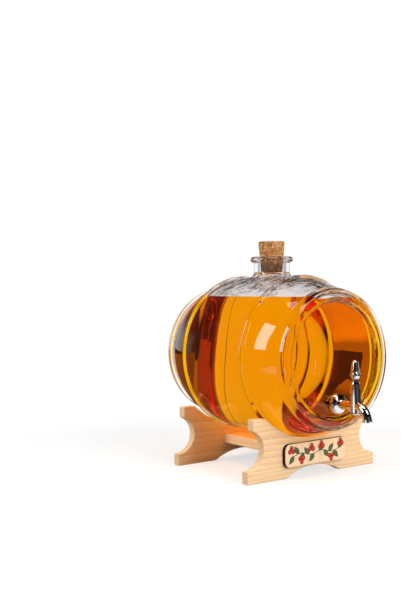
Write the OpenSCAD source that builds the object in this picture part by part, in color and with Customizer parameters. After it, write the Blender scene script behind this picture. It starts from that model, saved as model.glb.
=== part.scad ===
// Glass barrel drink dispenser lying on a wooden cradle, with a cork and a small tap.
// Units are millimetres. Z is up, the tap points to -Y, and the feet stand on z = 0.

/* [Cradle] */
// Thickness of each upright plate
plate_t = 10.5; // [8:0.5:14]
// Depth of the cradle over both plates
cradle_depth = 151; // [148:1:160]
// Width over the feet
foot_w = 206; // [196:1:230]
// Height of the feet at their outer side
foot_h = 15; // [10:1:20]
// Width over the horns
horn_w = 188; // [176:1:196]
// Height of the horns
horn_h = 74; // [68:1:80]
// Radius of the rounded cut-out in each side
side_cut_r = 23.5; // [18:0.5:24]
// Width of the arch between the feet
arch_w = 87; // [60:1:110]
// Height of the arch between the feet
arch_h = 11.5; // [6:0.5:13]
// Radius of the saddle under the barrel
saddle_r = 113; // [104:1:130]
// Height of the saddle at its lowest point
saddle_z = 44.7; // [44:0.1:52]
// Width of the stretcher board
board_w = 58.5; // [48:0.5:80]
// Thickness of the stretcher board
board_t = 12; // [9:0.5:14]
// Height of the underside of the stretcher board
board_z = 21.5; // [18:0.5:24]
// Diameter of the dowels
dowel_d = 6; // [4:0.5:7]
// Length of each dowel
dowel_l = 26; // [20:1:32]

/* [Plaque] */
// Width of the plaque
plaque_w = 100; // [60:1:120]
// Height of the plaque
plaque_h = 28; // [20:1:30]
// Thickness of the plaque
plaque_t = 4.5; // [2:0.5:6]
// Corner radius of the plaque
plaque_r = 8; // [2:0.5:9]
// Height of the middle of the plaque
plaque_z = 27.3; // [26:0.1:29]

/* [Barrel] */
// Greatest outer radius, at the belly
belly_r = 100.5; // [98:0.5:104]
// Length over both rims
barrel_len = 238; // [232:1:250]
// How much smaller the radius is at the end beads
stave_drop = 18.2; // [14:0.1:22]
// Thickness of the glass in the staves
wall = 6; // [4:0.5:8]
// Thickness of the glass in the heads
head_t = 4.5; // [4:0.5:6]
// Width of the rim round each head, from the ends of the staves in to its recess
rim_w = 11.8; // [9.5:0.1:14]
// How much smaller the flat of the head is than the inside of its rim
rim_slope = 3.5; // [2.5:0.5:5]
// Depth of the head behind its rim
head_recess = 6; // [4.5:0.5:8]
// Distance between the two slim hoops
hoop_span = 115.2; // [100:0.2:117]
// Height of the slim hoops above the staves
hoop_h = 3; // [1.5:0.1:3.5]
// Radius of the rounded section of the slim hoops
hoop_round = 5; // [4:0.5:6.5]
// Width of the end beads
bead_w = 14; // [12:0.5:16]
// Radius of the bow of the end beads' faces
bead_bow = 38; // [30:1:50]
// Height of the end beads' crests above the ends of the staves
bead_rise = 3; // [2:0.1:5]
// Thickness of the glass in the grooves beside the end beads
groove_wall = 3; // [2.5:0.5:5]
// Thickness of the glass in the rims
rim_wall = 3.5; // [3:0.5:4.5]

/* [Neck] */
// Outer diameter of the neck
neck_d = 46; // [42:0.5:50]
// Diameter of the lip
lip_d = 54.5; // [52:0.5:60]
// Height of the lip
lip_h = 7; // [5:0.5:8]
// Height of the mouth above the belly
neck_h = 23.8; // [21:0.1:30]
// Diameter of the neck's bore
bore_d = 31; // [27:0.5:34]
// Radius of the flare where the neck meets the belly
flare_r = 4; // [3:0.5:12]

/* [Cork] */
// Length of the cork
cork_l = 41; // [36:1:46]
// Length of the cork that stands above the mouth
cork_out = 19.5; // [14:0.5:24]
// Change of the cork's diameter for each unit of length
cork_taper = 0.17; // [0.1:0.01:0.22]

/* [Tap] */
// Flat glass left between the tap's seal or rosette and the edge of the head
seal_margin = 2.5; // [0.3:0.1:9]
// Distance of the plug's axis in front of the head
tap_reach = 32.3; // [30:0.1:38]
// Diameter of the upright plug housing
housing_d = 12.5; // [12:0.1:14]
// Height of the plug housing above the shank's axis
housing_up = 20; // [18:0.5:26]
// Depth of the plug housing under the shank's axis
housing_down = 6.5; // [6.5:0.1:9]
// Diameter of the plug
plug_d = 8; // [7:0.1:8.4]
// Diameter of the waterway
water_d = 5; // [3:0.1:5.5]
// Diameter of the threaded shank
shank_d = 10; // [9:0.1:10.5]
// Diameter of the rosette
rosette_d = 25; // [22:0.5:28]
// Height of the rosette's dome with its rim
rosette_h = 8.5; // [6:0.5:10]
// Outer diameter of the spout
spout_d = 10.5; // [9:0.1:11.5]
// Inner diameter of the spout
spout_bore = 6.5; // [5.5:0.1:7]
// Radius of the spout's bend
spout_bend = 14.5; // [13:0.1:18]
// Height of the collar under the handle
collar_h = 8; // [7:0.5:10]
// Height of the handle
handle_h = 25.1; // [24:0.1:30]
// Diameter of the handle's bulb
bulb_d = 11.8; // [11:0.1:14]

/* [Fits] */
// Clearance between the barrel and its saddle
seat_gap = 0.3; // [0.2:0.05:0.5]
// Clearance between the cork and the mouth
cork_gap = 0.3; // [0.2:0.05:0.5]
// Radial clearance of the turning plug
run_gap = 0.05; // [0.02:0.01:0.1]
// Radial clearance of glued, pressed and threaded pieces
fix_gap = 0.02; // [0.01:0.01:0.05]
// Clearance between the turning handle and the tap
turn_gap = 0.3; // [0.2:0.05:0.5]

/* [Hidden] */
$fn = 96;

// The cradle's middle lies behind the origin, so that the tap and the rear rim reach equally far.
mid_y = 25;
inner_half = cradle_depth / 2 - plate_t;
side_cut_x = foot_w / 2 - 1.3;
side_cut_z = foot_h + side_cut_r;
arch_r = (pow(arch_w / 2, 2) + pow(arch_h, 2)) / (2 * arch_h);
plate_front_y = mid_y - cradle_depth / 2;
dowel_x = board_w / 2 - dowel_d * 2.2;
dowel_z = board_z + board_t / 2;
dowel_in_plate = plate_t - 2.5;

half_len = barrel_len / 2;
head_s = half_len - head_recess;
inner_s = head_s - head_t;
stave_s = half_len - bead_w;
// The bead's face bows down from its crest to the rounded edge of the rim.
bead_edge = 2.2;
bead_turn = 26;
bow_s = half_len - bead_edge - (bead_bow - bead_edge) * sin(bead_turn);
bead_start = asin((stave_s + 1.5 - bow_s) / bead_bow);
bow_r = stave(stave_s) + bead_rise - bead_bow * cos(bead_start);
edge_r = bow_r + (bead_bow - bead_edge) * cos(bead_turn);
// The recess lies the width of the rim inside the ends of the staves.
head_r = stave(stave_s) - rim_w;
// Inside, the hollow reaches past the head into the bead, up to the wall of the rim.
flat_r = head_r - rim_slope;
rim_run = norm([rim_slope, head_recess]);
pocket_s = half_len - rim_wall;
pocket_end_r = stave(stave_s) - groove_wall;
corner_r = 3;
corner_s = pocket_s - corner_r;
corner_c = pocket_end_r - corner_r;
flat_in = recess_in(inner_s);
pocket_r = min(recess_in(pocket_s), corner_c);
barrel_z = saddle_z + seat_gap + stave(inner_half);
hoop_c = stave(hoop_span / 2) + hoop_h - hoop_round;

belly_z = barrel_z + belly_r;
mouth_z = belly_z + neck_h;
flare_z = barrel_z + sqrt(pow(belly_r, 2) - pow(neck_d / 2 + flare_r, 2)) + flare_r;
cork_mouth_d = bore_d - 2 * cork_gap;
cork_top_d = cork_mouth_d + cork_out * cork_taper;
cork_end_d = cork_top_d - cork_l * cork_taper;
cork_z = mouth_z + cork_out - cork_l;
cork_edge = 0.8;

gasket_t = 2;
gasket_d = 20;
// The inner seal lies on the flat of the head inside, and the rosette within the rim outside.
tap_drop = min(flat_in - gasket_d / 2, flat_r - rosette_d / 2) - seal_margin;
tap_z = barrel_z - tap_drop;
head_y = mid_y - head_s;
tap_y = head_y - tap_reach;
washer_t = 1.2;
nut_af = 15;
nut_t = 6;
shank_in = head_t + gasket_t + washer_t + nut_t + 3;
boss_d = 12;
glass_hole_d = shank_d + 2;
stem_d = 6;
stud_d = 4;
ring_w = 1.3;
ring_depth = 0.9;
ring_low = -water_d / 2 - 2;
ring_high = water_d / 2 + 3;
gland_l = 4;
plug_foot = 0.3;
plug_washer_t = 0.6;
plug_nut_h = 2.5;
housing_top = tap_z + housing_up;
housing_end = tap_z - housing_down;
collar_top = housing_top + collar_h;
handle_z = collar_top + turn_gap;
bulb_z = handle_z + 1.8 + bulb_d / 2;
bud_z = bulb_z + 4.3;
bud_top_r = 3.7;
bud_cap_z = handle_z + handle_h - bud_top_r;
pin_d = 1.5;
pin_z = handle_z + 5;
pin_l = 9;
spout_run = 3.7;
spout_y = tap_y - spout_run - spout_bend;
spout_rim = 1.5;

// Outer radius of the staves at a distance from the barrel's middle.
function stave(s) = belly_r - stave_drop * pow(abs(s) / stave_s, 3);

// Radius of the hollow there, which runs straight through the end beads.
function hollow(s) = max(stave(s) - wall, pocket_end_r);

// Radius there of the hollow's side that lies the wall of the rim behind the sloping side of the recess.
function recess_in(s) = flat_r + rim_wall * head_recess / rim_run
  + (s - head_s + rim_wall * rim_slope / rim_run) * rim_slope / head_recess;

module along_barrel() {
  translate([0, mid_y, barrel_z]) rotate([-90, 0, 0]) children();
}

// Turned about the shank's axis; local Z runs from the head's face to the front.
module along_shank() {
  translate([0, head_y, tap_z]) rotate([90, 0, 0]) children();
}

module ring(outer_d, inner_d, height) {
  difference() {
    cylinder(d = outer_d, h = height);
    translate([0, 0, -1]) cylinder(d = inner_d, h = height + 2);
  }
}

// One upright plate, seen from the front and standing with its front face at y.
module plate(y) {
  translate([0, y + plate_t, 0]) rotate([90, 0, 0]) linear_extrude(height = plate_t) difference() {
    union() {
      translate([-foot_w / 2, 0]) square([foot_w, side_cut_z]);
      translate([-horn_w / 2, 0]) square([horn_w, horn_h]);
    }
    for (side = [-1, 1]) translate([side * side_cut_x, side_cut_z]) circle(r = side_cut_r);
    translate([0, arch_h - arch_r]) circle(r = arch_r, $fn = 192);
    translate([0, saddle_z + saddle_r]) circle(r = saddle_r, $fn = 192);
  }
}

// Four round bars along Y at the dowel places, reaching past the joint both ways.
module dowel_bars(d, in_plate, in_board) {
  for (end = [-1, 1], side = [-1, 1])
    translate([side * dowel_x, mid_y + end * inner_half, dowel_z])
      rotate([end * -90, 0, 0]) translate([0, 0, -in_board]) cylinder(d = d, h = in_plate + in_board);
}

module front_cradle_plate() {
  color("BurlyWood") difference() {
    plate(plate_front_y);
    dowel_bars(dowel_d + 2 * fix_gap, dowel_in_plate, 1);
  }
}

module rear_cradle_plate() {
  color("BurlyWood") difference() {
    plate(mid_y + inner_half);
    dowel_bars(dowel_d + 2 * fix_gap, dowel_in_plate, 1);
  }
}

module stretcher_board() {
  color("Wheat") difference() {
    translate([-board_w / 2, mid_y - inner_half, board_z]) cube([board_w, 2 * inner_half, board_t]);
    dowel_bars(dowel_d + 2 * fix_gap, 1, dowel_l - dowel_in_plate);
  }
}

module stretcher_dowels() {
  color("Tan") dowel_bars(dowel_d, dowel_in_plate, dowel_l - dowel_in_plate);
}

module plaque_board() {
  x = plaque_w / 2 - plaque_r;
  z = plaque_h / 2 - plaque_r;
  color("PapayaWhip") translate([0, plate_front_y, plaque_z]) rotate([90, 0, 0])
    linear_extrude(height = plaque_t) union() {
      square([plaque_w, 2 * z], center = true);
      square([2 * x, plaque_h], center = true);
      for (i = [-1, 1], k = [-1, 1]) translate([i * x, k * z]) circle(r = plaque_r, $fn = 48);
    }
}

// Outside of the glass: staves, slim hoops, end beads, recessed heads, neck and lip.
module barrel_outside() {
  steps = 22;
  end = concat(
    [[0, head_s], [flat_r, head_s], [head_r, half_len]],
    [for (i = [0 : 4]) let (a = 90 + (bead_turn - 90) * i / 4)
      [edge_r + bead_edge * cos(a), half_len - bead_edge + bead_edge * sin(a)]],
    [for (i = [1 : 8]) let (a = bead_turn + (bead_start - bead_turn) * i / 8)
      [bow_r + bead_bow * cos(a), bow_s + bead_bow * sin(a)]]);
  along_barrel() {
    rotate_extrude() polygon(concat(
      [for (p = end) [p[0], -p[1]]],
      [for (i = [-steps : steps]) [stave(stave_s * i / steps), stave_s * i / steps]],
      [for (i = [len(end) - 1 : -1 : 0]) end[i]]));
    for (side = [-1, 1])
      rotate_extrude() translate([hoop_c, side * hoop_span / 2]) circle(r = hoop_round, $fn = 48);
  }
  translate([0, mid_y, 0]) {
    rotate_extrude() polygon(concat(
      [[0, belly_z - 16], [neck_d / 2 + flare_r, belly_z - 16]],
      [for (a = [90 : -10 : 0]) [neck_d / 2 + flare_r * (1 - cos(a)), flare_z - flare_r * sin(a)]],
      [[neck_d / 2, mouth_z], [0, mouth_z]]));
    translate([0, 0, mouth_z - lip_h]) cylinder(d = lip_d - lip_h, h = lip_h);
    rotate_extrude() translate([(lip_d - lip_h) / 2, mouth_z - lip_h / 2]) circle(d = lip_h, $fn = 48);
  }
}

// The hollow of the barrel with rounded corners, and the bore of the neck.
module barrel_inside() {
  steps = 24;
  end = concat([[0, inner_s], [flat_in, inner_s], [pocket_r, pocket_s]],
    [for (a = [90 : -15 : 15]) [corner_c + corner_r * cos(a), corner_s + corner_r * sin(a)]]);
  along_barrel() rotate_extrude() polygon(concat(
    [for (p = end) [p[0], -p[1]]],
    [for (i = [-steps : steps]) [hollow(corner_s * i / steps), corner_s * i / steps]],
    [for (i = [len(end) - 1 : -1 : 0]) end[i]]));
  translate([0, mid_y, barrel_z]) cylinder(d = bore_d, h = belly_r + neck_h + 1);
  translate([0, mid_y, mouth_z - 1]) cylinder(d1 = bore_d, d2 = bore_d + 4, h = 2);
}

module glass_barrel() {
  color("LightCyan", 0.35) difference() {
    barrel_outside();
    barrel_inside();
    along_shank() translate([0, 0, -2 * head_t]) cylinder(d = glass_hole_d, h = 3 * head_t);
  }
}

module cork_stopper() {
  r_top = cork_top_d / 2;
  r_end = cork_end_d / 2;
  color("Peru") translate([0, mid_y, cork_z]) rotate_extrude() polygon([
    [0, 0], [r_end - cork_edge, 0], [r_end + cork_edge * cork_taper / 2, cork_edge],
    [r_top - cork_edge * cork_taper / 2, cork_l - cork_edge], [r_top - cork_edge, cork_l], [0, cork_l]]);
}

module outer_tap_gasket() {
  color("DimGray") along_shank() ring(gasket_d, shank_d + 2 * run_gap, gasket_t);
}

module tap_rosette() {
  rim = 2;
  rise = rosette_h - rim;
  r = rosette_d / 2;
  color("Silver") along_shank() translate([0, 0, gasket_t]) difference() {
    rotate_extrude() polygon(concat(
      [[0, 0], [r - 0.4, 0], [r, 0.4]],
      [for (a = [0 : 10 : 60]) [boss_d / 2 + (r - boss_d / 2) * cos(a * 1.5), rim + rise * sin(a * 1.5)]],
      [[0, rosette_h]]));
    translate([0, 0, -1]) cylinder(d = shank_d + 2 * run_gap, h = rosette_h + 2);
  }
}

module inner_tap_gasket() {
  color("DimGray") along_shank() translate([0, 0, -head_t - gasket_t])
    ring(gasket_d, shank_d + 2 * run_gap, gasket_t);
}

module inner_washer() {
  color("Gainsboro") along_shank() translate([0, 0, -head_t - gasket_t - washer_t])
    ring(gasket_d, shank_d + 2 * run_gap, washer_t);
}

module shank_nut() {
  color("Silver") along_shank() translate([0, 0, -head_t - gasket_t - washer_t - nut_t]) difference() {
    intersection() {
      cylinder(d = nut_af / cos(30), h = nut_t, $fn = 6);
      cylinder(d1 = nut_af * 1.07, d2 = nut_af * 1.07 + 2 * nut_t, h = nut_t);
    }
    translate([0, 0, -1]) cylinder(d = shank_d + 2 * fix_gap, h = nut_t + 2);
  }
}

// Casting of the tap: upright housing, boss and shank behind it, bent spout in front.
module tap_body() {
  rosette_face = gasket_t + rosette_h;
  bend_z = tap_z - spout_bend;
  color("LightGray") difference() {
    union() {
      translate([0, tap_y, housing_end]) cylinder(d = housing_d, h = housing_down + housing_up);
      along_shank() translate([0, 0, rosette_face]) cylinder(d = boss_d, h = tap_reach - rosette_face);
      along_shank() translate([0, 0, -shank_in]) cylinder(d = shank_d, h = shank_in + rosette_face + 1);
      along_shank() translate([0, 0, tap_reach]) cylinder(d = spout_d, h = spout_run);
      translate([0, tap_y - spout_run, bend_z]) rotate([0, -90, 0])
        rotate_extrude(angle = -90) translate([spout_bend, 0]) circle(d = spout_d, $fn = 48);
      translate([0, spout_y, bend_z - spout_rim]) cylinder(d = spout_d + 0.8, h = spout_rim);
    }
    translate([0, tap_y, housing_end - 1])
      cylinder(d = plug_d + 2 * run_gap, h = housing_down + housing_up + 2);
    along_shank() translate([0, 0, -shank_in - 1]) cylinder(d = water_d, h = shank_in + 1 + tap_reach);
    along_shank() translate([0, 0, tap_reach]) cylinder(d = water_d, h = spout_run + 0.1);
    translate([0, tap_y - spout_run, bend_z]) rotate([0, -90, 0])
      rotate_extrude(angle = -90) translate([spout_bend, 0]) circle(d = spout_bore, $fn = 48);
    translate([0, spout_y, bend_z - spout_rim - 1]) cylinder(d = spout_bore, h = spout_rim + 1);
  }
}

// Gland collar on the housing, with a spigot down into the plug's bore.
module tap_collar() {
  color("Silver") translate([0, tap_y, housing_top]) difference() {
    union() {
      translate([0, 0, -gland_l]) cylinder(d = plug_d, h = gland_l + 1);
      cylinder(d = housing_d - 0.7, h = 1.6);
      cylinder(d = housing_d - 2.4, h = collar_h - 2);
      translate([0, 0, collar_h - 2]) cylinder(d1 = housing_d - 1.8, d2 = housing_d - 2.8, h = 2);
    }
    translate([0, 0, -gland_l - 1]) cylinder(d = stem_d + 2 * run_gap, h = gland_l + collar_h + 2);
  }
}

// Grooves for the two O-rings of the plug, as rings to cut or to fill.
module plug_rings(outer_d, height) {
  for (z = [ring_low, ring_high])
    translate([0, tap_y, tap_z + z - height / 2]) ring(outer_d, plug_d - 2 * ring_depth, height);
}

module tap_plug() {
  low = housing_end - plug_foot;
  high = housing_top - gland_l - turn_gap;
  color("Khaki") difference() {
    translate([0, tap_y, 0]) {
      translate([0, 0, low]) cylinder(d = plug_d, h = high - low);
      translate([0, 0, high - 1]) cylinder(d = stem_d, h = handle_z + 10 - high + 1);
      translate([0, 0, low - plug_washer_t - plug_nut_h + 0.6])
        cylinder(d = stud_d, h = plug_washer_t + plug_nut_h);
    }
    translate([-plug_d, tap_y, tap_z]) rotate([0, 90, 0]) cylinder(d = water_d, h = 2 * plug_d);
    plug_rings(plug_d + 2, ring_w);
    translate([-pin_l, tap_y, pin_z]) rotate([0, 90, 0])
      cylinder(d = pin_d + 2 * fix_gap, h = 2 * pin_l, $fn = 32);
  }
}

module plug_o_rings() {
  color("DarkSlateGray") plug_rings(plug_d + run_gap, ring_w - 2 * fix_gap);
}

module plug_washer() {
  color("Gainsboro") translate([0, tap_y, housing_end - plug_foot - plug_washer_t])
    ring(housing_d - 1.5, stud_d + 2 * fix_gap, plug_washer_t);
}

module plug_nut() {
  top = housing_end - plug_foot - plug_washer_t;
  color("Silver") translate([0, tap_y, top - plug_nut_h]) difference() {
    rotate_extrude() polygon([[0, 0], [2.6, 0], [4.2, 0.7], [4.6, 1.6], [4.6, plug_nut_h], [0, plug_nut_h]]);
    translate([0, 0, 0.6]) cylinder(d = stud_d + 2 * fix_gap, h = plug_nut_h);
  }
}

// Bud on a round bulb with a row of small notches, turned by hand.
module tap_handle() {
  notches = 8;
  color("Silver") difference() {
    translate([0, tap_y, 0]) {
      translate([0, 0, handle_z]) cylinder(d = bulb_d * 0.62, h = bulb_z - handle_z);
      translate([0, 0, bulb_z]) sphere(d = bulb_d);
      translate([0, 0, bud_z]) cylinder(d1 = bulb_d * 0.88, d2 = 2 * bud_top_r, h = bud_cap_z - bud_z);
      translate([0, 0, bud_cap_z]) sphere(r = bud_top_r);
    }
    for (i = [0 : notches - 1]) translate([0, tap_y, bulb_z + 1.6]) rotate([0, 0, (i + 0.5) * 360 / notches])
      translate([bulb_d / 2 + 0.3, 0, 0]) sphere(d = 2.2, $fn = 24);
    translate([0, tap_y, handle_z - 1]) cylinder(d = stem_d + 2 * fix_gap, h = 11.1);
    translate([-pin_l, tap_y, pin_z]) rotate([0, 90, 0])
      cylinder(d = pin_d + 2 * fix_gap, h = 2 * pin_l, $fn = 32);
  }
}

module handle_pin() {
  color("DarkGray") translate([-pin_l / 2, tap_y, pin_z]) rotate([0, 90, 0])
    cylinder(d = pin_d, h = pin_l, $fn = 32);
}

front_cradle_plate();
rear_cradle_plate();
stretcher_board();
stretcher_dowels();
plaque_board();
glass_barrel();
cork_stopper();
outer_tap_gasket();
tap_rosette();
inner_tap_gasket();
inner_washer();
shank_nut();
tap_body();
tap_collar();
tap_plug();
plug_o_rings();
plug_washer();
plug_nut();
tap_handle();
handle_pin();
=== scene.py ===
import bmesh
import bpy
import numpy as np
from mathutils import Matrix, Vector


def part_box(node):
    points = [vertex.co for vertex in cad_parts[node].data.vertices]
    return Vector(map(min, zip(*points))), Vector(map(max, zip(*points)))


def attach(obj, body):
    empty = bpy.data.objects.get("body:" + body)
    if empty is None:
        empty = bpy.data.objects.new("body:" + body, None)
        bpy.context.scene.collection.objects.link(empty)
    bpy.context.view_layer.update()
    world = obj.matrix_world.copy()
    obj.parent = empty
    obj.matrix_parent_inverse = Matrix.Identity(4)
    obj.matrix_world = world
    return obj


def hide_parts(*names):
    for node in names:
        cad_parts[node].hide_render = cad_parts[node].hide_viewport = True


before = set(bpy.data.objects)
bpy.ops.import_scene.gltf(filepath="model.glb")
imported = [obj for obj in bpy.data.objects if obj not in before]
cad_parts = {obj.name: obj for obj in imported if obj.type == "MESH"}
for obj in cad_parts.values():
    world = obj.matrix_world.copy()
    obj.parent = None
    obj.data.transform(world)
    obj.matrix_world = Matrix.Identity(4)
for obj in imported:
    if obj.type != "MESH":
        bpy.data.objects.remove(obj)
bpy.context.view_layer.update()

# Cradle plates: two upright beech boards sawn to one outline, with a saddle for the barrel, two horns,
# a round cut-out in each side and an arch between the feet. Their edges are broken with sandpaper.
MM = 0.001
FOOT_X, FOOT_Z = 103.0, 15.04
HORN_X, HORN_Z = 94.0, 74.0
CUT_X, CUT_Z, CUT_R = 101.7, 38.5, 23.5
ARCH_X, ARCH_Z, ARCH_R = 43.5, 11.5, 88.04
SADDLE_Z, SADDLE_R = 44.7, 113.0
SANDED = 0.9
PITH = {"front": (0, -31, -150), "rear": (40, 47, -118)}


def arc(centre, radius, first, last, count):
    """Points of a circle, at even angles from first to last in degrees."""
    angle = np.radians(np.linspace(first, last, count))
    return np.stack([centre[0] + radius * np.cos(angle), centre[1] + radius * np.sin(angle)], axis=1)


def softened(points, step, blur, closed=True):
    """An outline walked in even steps and averaged along itself by a bell curve, which rounds corners."""
    path = np.vstack([points, points[:1]]) if closed else np.asarray(points, float)
    run = np.concatenate([[0.0], np.cumsum(np.hypot(*np.diff(path, axis=0).T))])
    count = int(run[-1] / step)
    at = np.linspace(0, run[-1], count + 1)
    even = np.stack([np.interp(at, run, path[:, k]) for k in (0, 1)], axis=1)
    reach = int(4 * blur / step) + 1
    bell = np.exp(-0.5 * (np.arange(-reach, reach + 1) * step / blur) ** 2)
    bell /= bell.sum()
    if closed:
        even = np.pad(even[:-1], ((reach, reach), (0, 0)), mode="wrap")
    else:
        even = np.pad(even, ((reach, reach), (0, 0)), mode="reflect", reflect_type="odd")
    return np.stack([np.convolve(even[:, k], bell, mode="valid") for k in (0, 1)], axis=1)


def plate_outline():
    """The right half from the arch's crown round to the saddle's lowest point, then its mirror image."""
    rise = HORN_Z - SADDLE_Z - SADDLE_R
    arch_end = 90 - np.degrees(np.arcsin(ARCH_X / ARCH_R))
    saddle_end = np.degrees(np.arctan2(rise, np.sqrt(SADDLE_R**2 - rise**2)))
    foot = np.degrees(np.arcsin((FOOT_Z - CUT_Z) / CUT_R))
    horn = np.degrees(np.arccos((HORN_X - CUT_X) / CUT_R)) - 360
    half = np.vstack([
        arc((0, ARCH_Z - ARCH_R), ARCH_R, 90, arch_end, 40),
        [(FOOT_X, 0), (FOOT_X, FOOT_Z)],
        arc((CUT_X, CUT_Z), CUT_R, foot, horn, 90),
        [(HORN_X, HORN_Z)],
        arc((0, SADDLE_Z + SADDLE_R), SADDLE_R, saddle_end, -90, 80)])
    return np.vstack([half, half[-2:0:-1] * (-1, 1)])


def carried(loop, front, back, edge):
    """The rings of a closed outline in XZ that is carried along Y: it moves out by a quarter round, runs
    straight back and moves in again. Each ring is the outline less edge * (1 - sin a) along its normal."""
    ahead = np.roll(loop, -1, axis=0) - np.roll(loop, 1, axis=0)
    normal = np.stack([ahead[:, 1], -ahead[:, 0]], axis=1)
    normal /= np.linalg.norm(normal, axis=1, keepdims=True)
    turn = np.radians(np.linspace(0, 90, 5))
    inset = edge * (1 - np.sin(turn))
    depth = edge * (1 - np.cos(turn))
    inset = np.concatenate([inset, inset[::-1]])
    y = np.concatenate([front + depth, (back - depth)[::-1]])
    flat = loop[None] - inset[:, None, None] * normal[None]
    across = np.broadcast_to(y[:, None], flat.shape[:2])
    return np.stack([flat[..., 0], across, flat[..., 1]], axis=2)


def quads(rows, columns, start=0, wrap=False):
    """Corner numbers of a grid's faces, row by row, from point number start on. With wrap, the last column
    joins the first."""
    index = start + np.arange(rows * columns).reshape(rows, columns)
    if wrap:
        index = np.concatenate([index, index[:, :1]], axis=1)
    return np.stack([index[:-1, :-1], index[:-1, 1:], index[1:, 1:], index[1:, :-1]], axis=2).reshape(-1, 4)


def piece(name, points, faces, body, node=None, smooth=40):
    """A new object from points in mm: doubles merged, and edges past the smooth angle in degrees sharp."""
    mesh = bpy.data.meshes.new(name)
    mesh.from_pydata(np.asarray(points).reshape(-1, 3) * MM, [], [list(map(int, f)) for f in faces])
    shape = bmesh.new()
    shape.from_mesh(mesh)
    bmesh.ops.remove_doubles(shape, verts=shape.verts, dist=1e-6)
    bmesh.ops.dissolve_degenerate(shape, edges=shape.edges, dist=1e-7)
    shape.to_mesh(mesh)
    shape.free()
    mesh.polygons.foreach_set("use_smooth", np.ones(len(mesh.polygons), bool))
    mesh.set_sharp_from_angle(angle=np.radians(smooth))
    made = bpy.data.objects.new(name, mesh)
    bpy.context.scene.collection.objects.link(made)
    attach(made, body)
    if node:
        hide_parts(node)
    return made


def linear(code):
    """An sRGB hex colour as linear red, green, blue and 1."""
    value = np.array([int(code[i:i + 2], 16) for i in (1, 3, 5)]) / 255
    value = np.where(value <= 0.04045, value / 12.92, ((value + 0.055) / 1.055) ** 2.4)
    return (*value.tolist(), 1.0)


def add(tree, kind, inputs, **settings):
    """A shader node with its settings; each input, by name or number, is a value, or a socket to link."""
    made = tree.nodes.new("ShaderNode" + kind)
    for name, value in settings.items():
        setattr(made, name, value)
    for name, value in inputs.items():
        if isinstance(value, bpy.types.NodeSocket):
            tree.links.new(value, made.inputs[name])
        else:
            made.inputs[name].default_value = value
    return made


def material(name):
    """A new material with an empty tree: the material, its tree and the tree's output node."""
    made = bpy.data.materials.new(name)
    made.use_nodes = True
    made.node_tree.nodes.clear()
    return made, made.node_tree, made.node_tree.nodes.new("ShaderNodeOutputMaterial")


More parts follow.
